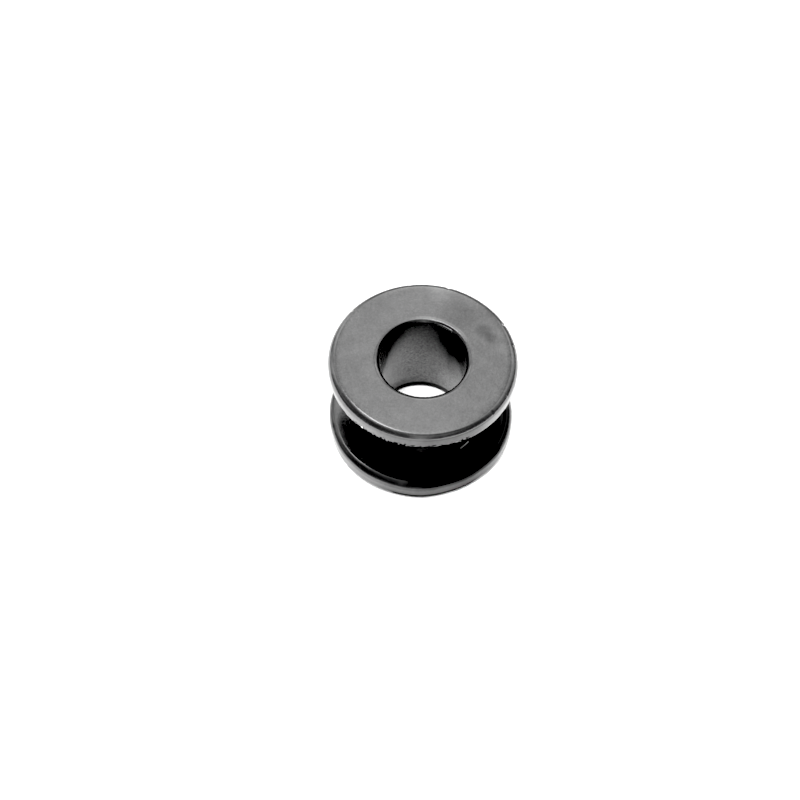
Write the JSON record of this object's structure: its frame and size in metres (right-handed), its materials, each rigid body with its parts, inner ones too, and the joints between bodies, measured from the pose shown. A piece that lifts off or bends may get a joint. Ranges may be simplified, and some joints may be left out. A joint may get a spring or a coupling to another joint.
{
  "type": "fuel tank gasket",
  "caption": "Black rubber grommet gasket: a short round spool with two equal flanges, a deep groove between them and a plain bore with rounded mouths.",
  "frame": {"origin": "centre of the underside, on the bore's axis", "axes": "+Z along the bore, from the underside to the top face; the part is round about Z, so X and Y are free"},
  "size_m": [0.022, 0.022, 0.0136],
  "materials": {
    "rubber": "smooth moulded, satin"
  },
  "bodies": {
    "root": {"gasket": "rubber"}
  },
  "joints": []
}
